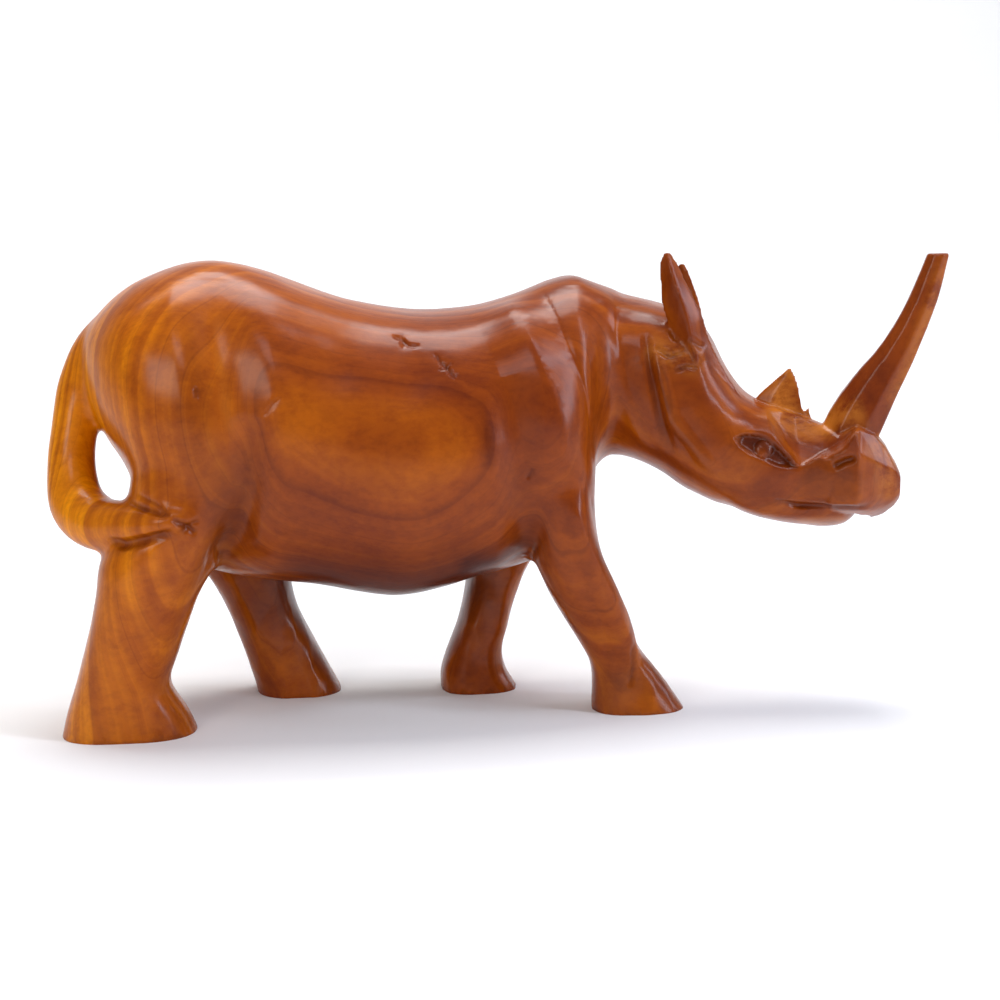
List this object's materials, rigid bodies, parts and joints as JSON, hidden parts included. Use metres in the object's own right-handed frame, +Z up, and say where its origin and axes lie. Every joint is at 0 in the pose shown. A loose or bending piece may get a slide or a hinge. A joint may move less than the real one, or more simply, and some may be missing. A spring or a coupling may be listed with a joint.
{
  "type": "rhinoceros figurine",
  "caption": "Hand-carved hardwood rhinoceros figurine standing on flat soles, long front horn, small second horn and a tail curled onto the thigh.",
  "frame": {"origin": "centre of the bounding box in plan, on the plane of the four soles", "axes": "+X runs from the tail to the horns, +Z is up, and -Y is the animal's right side, which the head turns to"},
  "size_m": [0.2868, 0.0918, 0.149],
  "materials": {
    "carved_wood": "reddish-orange hardwood with growth rings under a glossy hand-rubbed varnish"
  },
  "bodies": {
    "root": {"rhinoceros": "carved_wood"}
  },
  "joints": []
}
